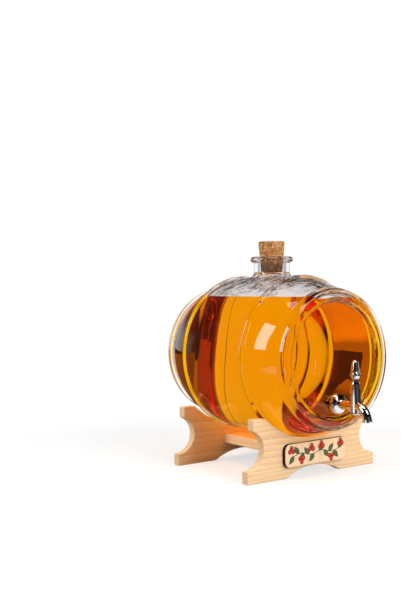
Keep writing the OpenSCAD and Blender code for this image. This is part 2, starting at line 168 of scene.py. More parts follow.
def beech(name, pale, late, pith, turn):
    """Beech, sawn and sanded, with its grain along X once turned. Growth rings 5 mm apart show as soft bands
    about a pith outside the board, fine fibres run along them, and short ray flecks lie between. End grain
    is darker. Rings and flecks are drawn twice as coarse as they are, to show. The pith is given as the
    shift in mm that brings it onto the axis, and a wave of scale 1 repeats every 0.314."""
    made, tree, out = material(name)
    coords = add(tree, "TexCoord", {})
    board = add(tree, "Mapping", {"Vector": coords.outputs["Object"], "Rotation": turn,
                                  "Location": [p * MM for p in pith]})
    long = add(tree, "Mapping", {"Vector": board.outputs[0], "Scale": (0.12, 1, 1)})
    sway = add(tree, "TexNoise", {"Vector": long.outputs[0], "Scale": 1 / (45 * MM), "Detail": 2.0})
    swing = add(tree, "VectorMath", {0: sway.outputs["Color"], 1: (16 * MM,) * 3, 2: board.outputs[0]},
                operation="MULTIPLY_ADD")
    rings = add(tree, "TexWave", {"Vector": swing.outputs[0], "Scale": 0.314 / (5 * MM), "Distortion": 0.0},
                wave_type="RINGS", rings_direction="X", wave_profile="SAW")
    tone = add(tree, "TexNoise", {"Vector": long.outputs[0], "Scale": 1 / (22 * MM), "Detail": 3.0})
    band = add(tree, "Math", {0: rings.outputs["Fac"], 1: tone.outputs["Fac"]}, operation="MULTIPLY")
    wood = add(tree, "Mix", {0: band.outputs[0], 6: linear(pale), 7: linear(late)}, data_type="RGBA")
    thin = add(tree, "Mapping", {"Vector": swing.outputs[0],
                                 "Scale": [1 / (size * MM) for size in (35, 0.9, 0.9)]})
    fibre = add(tree, "TexNoise", {"Vector": thin.outputs[0], "Scale": 1.0, "Detail": 2.0})
    streak = add(tree, "MapRange", {"Value": fibre.outputs["Fac"], "From Min": 0.45, "From Max": 0.75,
                                    "To Max": 0.4})
    lined = add(tree, "Mix", {0: streak.outputs[0], 6: wood.outputs[2], 7: linear("#D9A873")},
                data_type="RGBA")
    small = add(tree, "Mapping", {"Vector": swing.outputs[0],
                                  "Scale": [1 / (size * MM) for size in (5.5, 1.5, 1.5)]})
    cell = add(tree, "TexVoronoi", {"Vector": small.outputs[0], "Scale": 1.0})
    fleck = add(tree, "MapRange", {"Value": cell.outputs["Distance"], "From Min": 0.18, "From Max": 0.3,
                                   "To Min": 0.3, "To Max": 0.0})
    some = add(tree, "SeparateColor", {"Color": cell.outputs["Color"]})
    part = add(tree, "Math", {0: fleck.outputs[0], 1: some.outputs[0]}, operation="MULTIPLY")
    dark = add(tree, "Mix", {0: part.outputs[0], 6: lined.outputs[2], 7: linear("#A9713F")},
               data_type="RGBA")
    across = add(tree, "Mapping", {"Vector": coords.outputs["Normal"], "Rotation": turn})
    along = add(tree, "SeparateXYZ", {"Vector": across.outputs[0]})
    sawn = add(tree, "Math", {0: along.outputs[0]}, operation="ABSOLUTE")
    ends = add(tree, "MapRange", {"Value": sawn.outputs[0], "From Min": 0.4, "To Max": 0.3})
    face = add(tree, "Mix", {0: ends.outputs[0], 6: dark.outputs[2], 7: linear("#C79A6C")},
               data_type="RGBA")
    gloss = add(tree, "MapRange", {"Value": tone.outputs["Fac"], "To Min": 0.5, "To Max": 0.68})
    relief = add(tree, "Math", {0: fibre.outputs["Fac"], 1: part.outputs[0]}, operation="SUBTRACT")
    bump = add(tree, "Bump", {"Height": relief.outputs[0], "Strength": 0.15, "Distance": 0.2 * MM})
    skin = add(tree, "BsdfPrincipled", {"Base Color": face.outputs[2], "Roughness": gloss.outputs[0],
                                        "Normal": bump.outputs[0], "IOR": 1.5, "Specular IOR Level": 0.25})
    tree.links.new(skin.outputs[0], out.inputs["Surface"])
    return made


def board_piece(name, loop, front, back, edge, node):
    """A board on the stand: the carried outline with a front and a back face."""
    rings = carried(loop, front, back, edge)
    count = len(loop)
    sides = quads(len(rings), count, wrap=True)[:, ::-1]
    caps = [np.arange(count), np.arange(count)[::-1] + (len(rings) - 1) * count]
    return piece(name, rings, [*sides, *caps], "stand", node)


plate_loop = softened(plate_outline(), step=1.0, blur=0.7)
for side, pith in PITH.items():
    low, high = (np.array(corner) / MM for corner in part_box(side + "_cradle_plate"))
    plate = board_piece(side + "_plate", plate_loop, low[1], high[1], SANDED,
                        side + "_cradle_plate")
    plate.data.materials.append(beech("sanded beech, " + side, "#FFDDB3", "#E4B279", pith, (0, 0, 0)))

# Stretcher: a beech board between the two plates, glued with two hidden dowels at each end.
# Its grain runs from plate to plate, and its long edges are broken with sandpaper.
BOARD_EASED, BOARD_END = 1.2, 0.3
PLATE_TO_PLATE = (0, 0, np.pi / 2)


def rounded_box(low, high, radius):
    """A rectangle with round corners, from its lower right one on: four arcs joined by straight sides."""
    (x0, z0), (x1, z1) = low, high
    corners = ((x1, z0, -90), (x1, z1, 0), (x0, z1, 90), (x0, z0, 180))
    return np.vstack([
        arc((x - np.sign(x - (x0 + x1) / 2) * radius, z - np.sign(z - (z0 + z1) / 2) * radius),
            radius, first, first + 90, 7)
        for x, z, first in corners])


def dress(node, finish):
    """Give a solid of the frame its finish."""
    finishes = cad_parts[node].data.materials
    finishes.clear()
    finishes.append(finish)


low, high = (np.array(corner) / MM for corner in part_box("stretcher_board"))
board_loop = softened(rounded_box(low[[0, 2]], high[[0, 2]], BOARD_EASED), step=0.6, blur=0.3)
stretcher = board_piece("stretcher", board_loop, low[1], high[1], BOARD_END,
                        "stretcher_board")
stretcher.data.materials.append(
    beech("sanded beech, board", "#FDDBAF", "#E2B077", (25, 20, -60), PLATE_TO_PLATE))
dress("stretcher_dowels", beech("turned beech, dowel", "#F0CB9C", "#D8AC78", (4, 9, -28), PLATE_TO_PLATE))

# Plaque: a thin limewood board cut out with a laser, which browns its edge, and glued to the front plate.
# Its face is sanded and printed with a sprig of leaves and berries.
PLAQUE_EDGE, PLAQUE_CORNER = 0.5, 8.0
PLAQUE_COLUMNS, PLAQUE_ROWS = 361, 103
STEM_REACH, STEM_HALF = 39.0, 0.42
LEAVES, LEAF_LENGTH, LEAF_WIDTH = np.linspace(-36, 36, 10), 12.0, 6.2
TRIOS = (-40.0, -24.0, -8.0, 8.0, 24.0, 40.0)
TRIO = ((-2.7, 5.6), (2.7, 5.4), (0.1, 9.8))
BERRY_R, FLESH_R, SPOT_R, SPOT_AT = 2.9, 2.5, 0.75, (-0.7, 0.9)

low, high = (np.array(corner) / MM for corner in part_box("plaque_board"))
plaque_middle = (low + high) / 2
plaque_half = (high - low)[[0, 2]] / 2
plaque_half_t = (high - low)[1] / 2


def plaque_width(z):
    """Half the face's width at a height: full between the corners, less the circle's bow within them."""
    over = np.clip(np.abs(z) - (plaque_half[1] - PLAQUE_CORNER), 0, PLAQUE_CORNER - PLAQUE_EDGE)
    return plaque_half[0] - PLAQUE_CORNER + np.sqrt((PLAQUE_CORNER - PLAQUE_EDGE) ** 2 - over**2)


def plaque_grid(columns, rows):
    """The face in X and Z. The rows' heights are a quarter sine and three quarters even, so that they draw
    together at the long edges. Each row is as wide as the outline is there."""
    z = np.sin(np.linspace(-90, 90, rows) * np.pi / 180 * 0.999) * 0.25 + np.linspace(-1, 1, rows) * 0.75
    z = z / z[-1] * (plaque_half[1] - PLAQUE_EDGE)
    x = np.linspace(-1, 1, columns)[None] * plaque_width(z)[:, None]
    return x, np.broadcast_to(z[:, None], x.shape)


plaque_x, plaque_z = plaque_grid(PLAQUE_COLUMNS, PLAQUE_ROWS)
flat = np.stack([plaque_x, plaque_z], axis=2)
rim = np.concatenate([flat[0, :-1], flat[:-1, -1], flat[-1, :0:-1], flat[:0:-1, 0]])
ahead = np.roll(rim, -1, axis=0) - np.roll(rim, 1, axis=0)
outward = np.stack([ahead[:, 1], -ahead[:, 0]], 1) / np.linalg.norm(ahead, axis=1, keepdims=True)
rings = carried(rim + PLAQUE_EDGE * outward + plaque_middle[[0, 2]], low[1], high[1], PLAQUE_EDGE)
rings[0] = np.insert(rim + plaque_middle[[0, 2]], 1, low[1], axis=1)
face = np.insert(flat + plaque_middle[[0, 2]], 1, low[1], axis=2).reshape(-1, 3)
count = len(rim)
plaque = piece("plaque", np.vstack([face, rings.reshape(-1, 3)]),
               [*quads(*plaque_x.shape), *quads(len(rings), count, len(face), True)[:, ::-1],
                np.arange(count)[::-1] + len(face) + (len(rings) - 1) * count],
               "stand", "plaque_board")


def laid(under, colour, cover):
    """A printed or burnt layer over another: red, green, blue and cover, mixed by the new layer's cover."""
    top = np.array(linear(colour))[None]
    share = np.clip(cover, 0, 1)[:, None]
    return under * (1 - share) + top * share


def stem(x):
    """Height of the stem's middle line: a sine wave along the plaque."""
    return 1.6 * np.sin(x / 5.2)


def leaf(x, z, base, angle):
    """How far inside a leaf each point lies, in mm: half the width times the sine of its share of the
    length, which is at most a half turn, less the distance from the midrib. Also that distance."""
    along = (x - base[0]) * np.cos(angle) + (z - base[1]) * np.sin(angle)
    off = np.abs((z - base[1]) * np.cos(angle) - (x - base[0]) * np.sin(angle))
    bow = LEAF_WIDTH / 2 * np.sin(np.pi * np.clip(along / LEAF_LENGTH, 0, 1) ** 0.8)
    return np.where((along > 0) & (along < LEAF_LENGTH), bow - off, -1.0), off


def sprig(x, z):
    """The print at points of the face in mm from its middle: a waved stem, leaves by turns above and below
    it, and berries in threes, each a disc with a dark edge and a pale spot. Gives each point's red, green,
    blue and cover. What a distance is divided by is the width in mm over which the ink fades."""
    inside = np.where(np.abs(x) < STEM_REACH, STEM_HALF - np.abs(z - stem(x)) * 0.96, -1.0)
    ink = laid(np.zeros((len(x), 4)), "#2A1A10", inside / 0.25 + 0.5)
    for number, at in enumerate(LEAVES):
        up = 1 if number % 2 else -1
        inside, rib = leaf(x, z, (at, stem(at)), up * np.radians(48 if at > 0 else 132))
        ink = laid(ink, "#26351E", inside / 0.2 + 1.0)
        ink = laid(ink, "#4B6640", (inside - 0.45) / 0.25 + 0.5)
        ink = laid(ink, "#7E9868", np.where(inside > 0.5, 0.8 - rib / 0.22, 0.0))
    for number, at in enumerate(TRIOS):
        side = (1 if number % 2 else -1) * (1 if at > 0 else -1)
        for dx, dz in TRIO:
            across, up = x - at - dx, z - stem(at) * 0.5 - side * dz
            gap = np.hypot(across, up)
            spot = np.hypot(across - SPOT_AT[0], up - SPOT_AT[1])
            ink = laid(ink, "#5A1512", (BERRY_R - gap) / 0.2 + 0.5)
            ink = laid(ink, "#C5302A", (FLESH_R - gap) / 0.6 + 0.3)
            ink = laid(ink, "#EE8A70", (SPOT_R - spot) / 0.6 + 0.2)
    return ink


at = np.empty(len(plaque.data.vertices) * 3)
plaque.data.vertices.foreach_get("co", at)
at = at.reshape(-1, 3) / MM - plaque_middle
reach = np.maximum(np.abs(at[:, [0, 2]]) - plaque_half + PLAQUE_CORNER, 0)
inset = PLAQUE_CORNER - np.hypot(*reach.T)

# Scorch: brown on the last 0.7 mm of the face, and near black from 0.4 mm behind the face on.
layer = laid(sprig(at[:, 0], at[:, 2]), "#7A4A28", 0.8 - inset / 0.9)
layer = laid(layer, "#1B0D07", (at[:, 1] + plaque_half_t - 0.1) / 0.3)
layer[:, :3] /= np.maximum(layer[:, 3:], 1e-6)
plaque.data.attributes.new("print", "FLOAT_COLOR", "POINT").data.foreach_set("color", layer.ravel())

# Lime veneer on ply: pale, with faint upright bands of fibre; ink and scorch lie on it and dull it.
veneer, tree, out = material("lime plywood, laser cut and printed")
place = add(tree, "TexCoord", {}).outputs["Object"]
upright = add(tree, "Mapping", {"Vector": place, "Scale": [1 / (size * MM) for size in (2.2, 2.2, 60)]})
fibre = add(tree, "TexNoise", {"Vector": upright.outputs[0], "Scale": 1.0, "Detail": 4.0, "Roughness": 0.6})
bands = add(tree, "MapRange", {"Value": fibre.outputs["Fac"], "From Min": 0.35, "From Max": 0.7})
pale = add(tree, "Mix", {0: bands.outputs[0], 6: linear("#FBE0BC"), 7: linear("#F2CDA0")}, data_type="RGBA")
ink = add(tree, "Attribute", {}, attribute_name="print")
printed = add(tree, "Mix", {0: ink.outputs["Alpha"], 6: pale.outputs[2], 7: ink.outputs["Color"]},
              data_type="RGBA")
gloss = add(tree, "MapRange", {"Value": bands.outputs[0], "To Min": 0.5, "To Max": 0.65})
bump = add(tree, "Bump", {"Height": fibre.outputs["Fac"], "Strength": 0.1, "Distance": 0.2 * MM})
skin = add(tree, "BsdfPrincipled", {"Base Color": printed.outputs[2], "Roughness": gloss.outputs[0],
                                    "Normal": bump.outputs[0], "Specular IOR Level": 0.25})
tree.links.new(skin.outputs[0], out.inputs["Surface"])
plaque.data.materials.append(veneer)

# Barrel: one vessel of clear blown glass lying on its side, with two slim hoops and two end beads pressed
# into it, recessed heads, a neck with a rounded lip on top and, in the front head, a drilled hole for the
# tap. It lies loose in the saddles of the plates.
MID_Y, AXIS_Z = 25.0, 141.18
BELLY_R, STAVE_DROP, STAVE_S = 100.5, 18.2, 105.0
HOOP_S, HOOP_C, HOOP_ROUND = 57.6, 95.5, 5.0
BEAD_BOW, BEAD_EDGE, BEAD_CREST, BEAD_START, BEAD_TURN = 38.0, 2.2, 85.3, 8.2, 26.0
HEAD_S, HEAD_FLAT, HEAD_R, RIM_S = 113.0, 67.0, 70.5, 119.0
WALL, INNER_S, INNER_END_R, RIM_WALL, CORNER_R = 6.0, 108.5, 79.3, 3.5, 3.0
TAP_DROP, TAP_HOLE, DRILLED_R, INNER_DRILLED_R = 52.0, 6.0, 60.0, 50.0
NECK_R, FLARE_R, NECK_FOOT_Z = 23.0, 28.0, 246.0
BORE_R, INNER_FLARE_R, BORE_FOOT_Z = 15.5, 21.0, 243.0
MOUTH_Z, MOUTH_EASED, LIP_R, LIP_ROUND = 265.48, 1.0, 27.25, 3.5
LEVEL = 213.0
COLUMNS, HEAD_ROWS, HOLE_COLUMNS, HOLE_ROWS, HOLE_S = 200, 12, 24, 32, 36.0
SIDE_R = 80.0


def stave(s):
    """Radius of the staves: the belly less the drop times the cube of the distance from the middle."""
    return BELLY_R - STAVE_DROP * (np.abs(s) / STAVE_S) ** 3


def barrel_profile():
    """Radius and place along the axis, from the front head's flat to the rear pole: the larger of the staves
    and the hoops' circles, closed at each end by a bead, its rim and the head. A bead is a wide bow with a
    rounded edge."""
    s = np.linspace(-STAVE_S, STAVE_S, 1681)
    hoop = HOOP_C + np.sqrt(np.clip(HOOP_ROUND**2 - (np.abs(s) - HOOP_S) ** 2, 0, None))
    near = np.abs(np.abs(s) - HOOP_S) < HOOP_ROUND
    r = np.where(near, np.maximum(stave(s), hoop), stave(s))
    bow_r = BEAD_CREST - BEAD_BOW * np.cos(np.radians(BEAD_START))
    bow_s = RIM_S - BEAD_EDGE - (BEAD_BOW - BEAD_EDGE) * np.sin(np.radians(BEAD_TURN))
    edge_r = bow_r + (BEAD_BOW - BEAD_EDGE) * np.cos(np.radians(BEAD_TURN))
    front = np.vstack([[(DRILLED_R, -HEAD_S), (HEAD_FLAT, -HEAD_S), (HEAD_R, -RIM_S)],
                       arc((edge_r, BEAD_EDGE - RIM_S), BEAD_EDGE, -90, -BEAD_TURN, 16),
                       arc((bow_r, -bow_s), BEAD_BOW, -BEAD_TURN, -BEAD_START, 40)])
    return np.vstack([front, np.stack([r, s], 1), front[:0:-1] * (1, -1), [(0, HEAD_S)]])


def hollow_profile():
    """The same for the hollow: the larger of the staves less the wall and the straight ends, which reach
    past the head into the bead by a rounded corner. There the recess's cone, less the rim's wall, leads back
    to the head."""
    front_s = RIM_S - RIM_WALL
    cone = np.array((HEAD_R - HEAD_FLAT, HEAD_S - RIM_S))
    inward = np.array((-cone[1], cone[0])) / np.hypot(*cone) * RIM_WALL
    cone_s = np.array((-INNER_S, -front_s))
    cone_r = HEAD_FLAT + inward[0] + (cone_s + HEAD_S - inward[1]) / cone[1] * cone[0]
    s = np.linspace(-1, 1, 861) * (front_s - CORNER_R)
    front = np.vstack([[(INNER_DRILLED_R, -INNER_S)], np.stack([cone_r, cone_s], 1),
                       arc((INNER_END_R - CORNER_R, CORNER_R - front_s), CORNER_R, -90, 0, 30)[:-1]])
    return np.vstack([front, np.stack([np.maximum(stave(s) - WALL, INNER_END_R), s], 1),
                      front[:0:-1] * (1, -1), [(0, INNER_S)]])


def crowded(path, count, pull):
    """Points of a path at even steps of its length plus pull times its turning, so that bends get more."""
    step = np.diff(path, axis=0)
    heading = np.unwrap(np.arctan2(step[:, 1], step[:, 0]))
    weight = np.hypot(*step.T) + pull * np.abs(np.gradient(heading))
    run = np.concatenate([[0.0], np.cumsum(weight)])
    at = np.linspace(0, run[-1], count)
    return np.stack([np.interp(at, run, path[:, k]) for k in (0, 1)], axis=1)


def with_hole_rows(path, before, after, pull):
    """The path's points with even rows between the two ends of the hole for the neck, and the first row's
    number."""
    first = np.argmax((path[:, 1] > -HOLE_S) & (path[:, 0] > SIDE_R))
    last = len(path) - np.argmax((path[::-1, 1] < HOLE_S) & (path[::-1, 0] > SIDE_R))
    s = np.linspace(-HOLE_S, HOLE_S, HOLE_ROWS + 1)
    middle = np.stack([np.interp(s, path[first - 2:last + 2, 1], path[first - 2:last + 2, 0]), s], axis=1)
    front = crowded(np.vstack([path[:first - 1], middle[:1]]), before, pull)[:-1]
    rear = crowded(np.vstack([middle[-1:], path[last + 1:]]), after, pull)[1:]
    return np.vstack([front, middle, rear]), before - 1


def turned(rows, drop=0.0):
    """Each row's circle about the barrel's axis, or about a line that lies lower by its drop, from the top
    towards +X, from minus half the hole's width on."""
    angle = (np.arange(COLUMNS) - HOLE_COLUMNS / 2) * 2 * np.pi / COLUMNS
    r, s = rows[:, :1], rows[:, 1:]
    return np.stack([r * np.sin(angle), MID_Y + s + 0 * angle, AXIS_Z - drop + r * np.cos(angle)], axis=2)


def drilled_head(s, radius):
    """Rows from the tap hole's circle, below the middle, to a circle about the middle, in even shares."""
    share = np.linspace(0, 1, HEAD_ROWS + 1)[:-1, None]
    rows = np.hstack([TAP_HOLE + (radius - TAP_HOLE) * share, np.full((HEAD_ROWS, 1), s)])
    return turned(rows, TAP_DROP * (1 - share))


def hole_rim(grid, first):
    """The points round the hole for the neck: front row, right column, rear row and left column of it."""
    block = grid[first:first + HOLE_ROWS + 1, :HOLE_COLUMNS + 1]
    return np.vstack([block[0, :-1], block[:-1, -1], block[-1, :0:-1], block[:0:-1, 0]])


def on_wall(x, y, less):
    """Height of the wall over a place near the top: the outside, or the hollow, less by the wall."""
    return AXIS_Z + np.sqrt((stave(y - MID_Y) - less) ** 2 - x**2)


def spread(ring, radius, steps, less):
    """Rings on the wall from a rim to a circle about the neck, in even shares of both, and their angles."""
    angle = np.arctan2(ring[:, 1] - MID_Y, ring[:, 0])
    share = np.linspace(0, 1, steps + 1)[1:, None]
    x = ring[None, :, 0] * (1 - share) + radius * np.cos(angle) * share
    y = ring[None, :, 1] * (1 - share) + (MID_Y + radius * np.sin(angle)) * share
    return np.stack([x, y, on_wall(x, y, less)], axis=2), angle


def flare(angle, radius, less, end, lead, rise):
    """Rings from a circle on the wall to a circle of the neck: a cubic that leaves along the wall's slope
    towards the neck and arrives upright."""
    x, y = radius * np.cos(angle), MID_Y + radius * np.sin(angle)
    start = on_wall(x, y, less)
    slope = on_wall(x * 0.99, MID_Y + (y - MID_Y) * 0.99, less) - start
    slope = slope / (0.01 * radius) * np.sign(radius - end[0])
    t = np.linspace(0, 1, 13)[1:, None]
    h00, h10, h01, h11 = 2 * t**3 - 3 * t**2 + 1, t**3 - 2 * t**2 + t, 3 * t**2 - 2 * t**3, t**3 - t**2
    inward = np.sign(end[0] - radius)
    r = h00 * radius + h10 * lead * inward + h01 * end[0]
    z = h00 * start + h10 * lead * slope + h01 * end[1] + h11 * rise
    return np.stack([r * np.cos(angle), MID_Y + r * np.sin(angle), z], axis=2)


def round_neck(angle, rows):
    """Rings of a profile about the neck's upright axis."""
    r, z = rows[:, :1], rows[:, 1:]
    return np.stack([r * np.cos(angle), MID_Y + r * np.sin(angle), z + 0 * angle], axis=2)


outer_path = softened(barrel_profile(), step=0.25, blur=0.6, closed=False)
inner_path = softened(hollow_profile(), step=0.25, blur=0.8, closed=False)
outer_rows, outer_first = with_hole_rows(outer_path, before=90, after=100, pull=25)
inner_rows, inner_first = with_hole_rows(inner_path, before=52, after=66, pull=25)
outer = np.concatenate([drilled_head(-HEAD_S, DRILLED_R), turned(outer_rows)])
inner = np.concatenate([drilled_head(-INNER_S, INNER_DRILLED_R), turned(inner_rows)])
drill = np.stack([outer[0], inner[0]])
outer_first, inner_first = HEAD_ROWS + outer_first, HEAD_ROWS + inner_first
outer_rim, inner_rim = hole_rim(outer, outer_first), hole_rim(inner, inner_first)
outer_spread, around = spread(outer_rim, FLARE_R, 5, 0.0)
inner_spread, around_in = spread(inner_rim, INNER_FLARE_R, 6, WALL)
neck_path = np.vstack([
    [(NECK_R, NECK_FOOT_Z), (NECK_R, MOUTH_Z - 2 * LIP_ROUND)],
    arc((LIP_R - LIP_ROUND, MOUTH_Z - LIP_ROUND), LIP_ROUND, -90, 90, 40),
    [(BORE_R + MOUTH_EASED, MOUTH_Z), (BORE_R, MOUTH_Z - MOUTH_EASED), (BORE_R, BORE_FOOT_Z)]])
neck_rows = crowded(softened(neck_path, step=0.2, blur=0.45, closed=False), count=54, pull=8)
neck = np.concatenate([
    outer_rim[None], outer_spread, flare(around, FLARE_R, 0.0, neck_rows[0], lead=5.5, rise=8.0),
    round_neck(around, neck_rows[1:]),
    flare(around_in, INNER_FLARE_R, WALL, neck_rows[-1], lead=5.0, rise=9.0)[-2::-1],
    inner_spread[::-1], inner_rim[None]])
points, faces = [], []
for grid, hole, flip in ((outer, outer_first, False), (inner, inner_first, True),
                         (drill, None, True), (neck, None, False)):
    columns = grid.shape[1]
    rows = quads(len(grid), columns, sum(map(len, points)), True).reshape(len(grid) - 1, columns, 4)
    keep = np.ones(rows.shape[:2], bool)
    if hole:
        keep[hole:hole + HOLE_ROWS, :HOLE_COLUMNS] = False
    points.append(grid.reshape(-1, 3))
    faces.append(rows[keep][:, ::-1] if flip else rows[keep])
barrel = piece("barrel_glass", np.vstack(points), np.vstack(faces),
               "barrel", "glass_barrel", smooth=50)


def wet_below(made, level):
    """Cut the hollow's wall at the drink's level. What lies below gets the second material, and the rest the
    third. Faces of the hollow look towards the barrel's middle, within its reach and clear of the hole."""
    shape = bmesh.new()
    shape.from_mesh(made.data)
    middle = {f: (f.calc_center_median() / MM - Vector((0, MID_Y, AXIS_Z))) for f in shape.faces}
    inside = [f for f, at in middle.items() if at.dot(f.normal) < 0 and abs(at.y) < RIM_S - RIM_WALL + 0.5
              and np.hypot(at.x, at.z) < BELLY_R - WALL + 1.5
              and np.hypot(at.x, at.z + TAP_DROP) > TAP_HOLE + 0.1]
    near = [*inside, *{e for f in inside for e in f.edges}, *{v for f in inside for v in f.verts}]
    cut = bmesh.ops.bisect_plane(shape, geom=near, plane_co=(0, 0, level * MM), plane_no=(0, 0, 1),
                                 dist=1e-7)
    for f in cut["geom"]:
        if isinstance(f, bmesh.types.BMFace):
            f.material_index = 1 if f.calc_center_median().z < level * MM else 2
    shape.to_mesh(made.data)
    shape.free()


def glass(name, ior, size, depth):
    """Soda-lime glass, blown into a mould: clear and smooth, with a slow ripple of the given size and depth
    in mm that bends what shows through it."""
    made, tree, out = material(name)
    place = add(tree, "TexCoord", {}).outputs["Object"]
    ripple = add(tree, "TexNoise", {"Vector": place, "Scale": 1 / (size * MM), "Detail": 2.0})
    bump = add(tree, "Bump", {"Height": ripple.outputs["Fac"], "Strength": 1.0, "Distance": depth * MM})
    face = add(tree, "BsdfPrincipled", {"Base Color": linear("#FEFFFF"), "Roughness": 0.0, "IOR": ior,
                                        "Transmission Weight": 1.0, "Normal": bump.outputs[0]})
    tree.links.new(face.outputs[0], out.inputs["Surface"])
    return made


GLASS_IOR, DRINK_IOR = 1.5, 1.36
barrel.data.materials.append(glass("clear blown glass", GLASS_IOR, 40, 0.1))
barrel.data.materials.append(glass("clear blown glass, wetted", GLASS_IOR / DRINK_IOR, 16, 0.15))
barrel.data.materials.append(glass("clear blown glass, inside", GLASS_IOR, 16, 0.9))
wet_below(barrel, LEVEL)

# Drink: a clear amber drink that fills the barrel to just under its shoulder. Its wall lies a hair inside
# the glass, which already bends the light as glass against drink does, so only its free surface bends light
# again.
HAIR = 0.1
drink_path = softened(np.vstack([[(0, -INNER_S)], hollow_profile()]), step=0.25, blur=0.8, closed=False)
heading = np.gradient(drink_path, axis=0)
inward = np.stack([-heading[:, 1], heading[:, 0]], 1) / np.linalg.norm(heading, axis=1, keepdims=True)
drink_path += HAIR * inward
drink_path[[0, -1], 0] = 0


def filled(path, level, count, columns):
    """The hollow below a level over its axis: each row's circle is kept from where it leaves the level on
    one side round to the other, and the level's own face spans the rows that reach it. Gives both grids."""
    rows = crowded(path, count, pull=25)
    reach = rows[:, 0] > level
    first, last = np.argmax(reach), len(reach) - np.argmax(reach[::-1]) - 1
    for at, near in ((first, first - 1), (last, last + 1)):
        share = (level - rows[near, 0]) / (rows[at, 0] - rows[near, 0])
        rows[near] = (level, rows[near, 1] + share * (rows[at, 1] - rows[near, 1]))
    r, s = rows[:, :1], rows[:, 1:]
    open_angle = np.arccos(np.clip(level / np.maximum(r, 1e-9), -1, 1))
    open_angle[r <= level] = 0
    angle = open_angle + (2 * np.pi - 2 * open_angle) * np.linspace(0, 1, columns)
    wall = np.stack([r * np.sin(angle), MID_Y + s + 0 * angle, AXIS_Z + r * np.cos(angle)], axis=2)
    side = wall[first - 1:last + 2, :1]
    top = side * np.linspace(1, -1, 33)[None, :, None] * (1, 0, 0)
    top = top + side * (0, 1, 0) + (0, 0, AXIS_Z + level)
    return wall, top


wall, top = filled(drink_path, LEVEL - AXIS_Z, count=130, columns=161)
drink = piece("drink", np.vstack([wall.reshape(-1, 3), top.reshape(-1, 3)]),
              [*quads(*wall.shape[:2]), *quads(*top.shape[:2], wall.size // 3)[:, ::-1]],
              "barrel", smooth=50)
surface = piece("drink_surface", top + (0, 0, HAIR / 2), quads(*top.shape[:2])[:, ::-1],
                "barrel", smooth=50)

# Amber spirit: clear, yellow where it is thin, and orange to red-brown where light runs far through it.
amber, tree, out = material("amber drink")
tint = add(tree, "BsdfPrincipled", {"Base Color": linear("#FFC69C"), "Roughness": 0.0, "IOR": 1.0,
                                    "Transmission Weight": 1.0})
soak = add(tree, "VolumeAbsorption", {"Color": (0.9995, 0.9912, 0.0, 1.0), "Density": 300.0})
tree.links.new(tint.outputs[0], out.inputs["Surface"])
tree.links.new(soak.outputs[0], out.inputs["Volume"])
drink.data.materials.append(amber)
still, tree, out = material("still surface of the drink")
tint = add(tree, "BsdfPrincipled", {"Base Color": linear("#FFF8EA"), "Roughness": 0.0, "IOR": DRINK_IOR,
                                    "Transmission Weight": 1.0})
tree.links.new(tint.outputs[0], out.inputs["Surface"])
surface.data.materials.append(still)

# Cork: a tapered stopper of pressed cork granules, pushed into the neck by hand.
# It was turned on a grinder, which leaves the grains cut through and the edges a little worn.
CORK_FOOT_R, CORK_EDGE = 13.37, 0.8
CORK_ROWS, CORK_COLUMNS = 70, 96
# Heights between which the painted shade of the neck fades: full below the first, none above the second.
NECK_SHADE_Z, NECK_SHADE_END_Z = 252.0, 268.0
low, high = (np.array(corner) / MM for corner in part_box("cork_stopper"))
cork_path = [(0, low[2]), (CORK_FOOT_R, low[2]), (high[0], high[2]), (0, high[2])]
cork_rows = crowded(softened(cork_path, step=0.3, blur=CORK_EDGE, closed=False), CORK_ROWS, pull=12)
cork_rows[[0, -1], 0] = 0
turn = np.linspace(0, 2 * np.pi, CORK_COLUMNS + 1)[:-1]
cork = piece("cork", round_neck(turn, cork_rows), quads(CORK_ROWS, CORK_COLUMNS, wrap=True),
             "cork", "cork_stopper", smooth=60)

# Pressed cork: grains of 3 mm from straw to brown with dark seams and fine pits, and painted shade: darker
# and redder towards its foot, which sits in the neck.
granular, tree, out = material("pressed cork granules")
place = add(tree, "TexCoord", {}).outputs["Object"]
wobble = add(tree, "TexNoise", {"Vector": place, "Scale": 1 / (2.5 * MM), "Detail": 2.0})
bent = add(tree, "VectorMath", {0: wobble.outputs["Color"], 1: (1.2 * MM,) * 3, 2: place},
           operation="MULTIPLY_ADD").outputs[0]
grain = add(tree, "TexVoronoi", {"Vector": bent, "Scale": 1 / (3.2 * MM)})
seam = add(tree, "TexVoronoi", {"Vector": bent, "Scale": 1 / (3.2 * MM)}, feature="DISTANCE_TO_EDGE")
hue = add(tree, "SeparateColor", {"Color": grain.outputs["Color"]})
tone = add(tree, "Mix", {0: hue.outputs[0], 6: linear("#F0B878"), 7: linear("#A8642C")}, data_type="RGBA")
pit = add(tree, "TexNoise", {"Vector": place, "Scale": 1 / (0.9 * MM), "Detail": 3.0})
dots = add(tree, "MapRange", {"Value": pit.outputs["Fac"], "From Min": 0.54, "From Max": 0.66})
spot = add(tree, "Mix", {0: dots.outputs[0], 6: tone.outputs[2], 7: linear("#5E3517")}, data_type="RGBA")
line = add(tree, "MapRange", {"Value": seam.outputs["Distance"], "From Max": 0.12, "To Min": 0.8,
                              "To Max": 0.0})
body = add(tree, "Mix", {0: line.outputs[0], 6: spot.outputs[2], 7: linear("#4A2710")}, data_type="RGBA")
bump = add(tree, "Bump", {"Height": seam.outputs["Distance"], "Strength": 0.5, "Distance": 0.4 * MM})
height = add(tree, "SeparateXYZ", {"Vector": place}).outputs["Z"]
# Painted shade: the cork turns darker and redder from just over the lip down into the neck.
neck_shade = add(tree, "MapRange", {"Value": height, "From Min": NECK_SHADE_Z * MM, "From Max": NECK_SHADE_END_Z * MM,
                                "To Min": 0.85, "To Max": 0.0})
shaded_foot = add(tree, "Mix", {0: neck_shade.outputs[0], 6: body.outputs[2], 7: linear("#4E2008")}, data_type="RGBA")
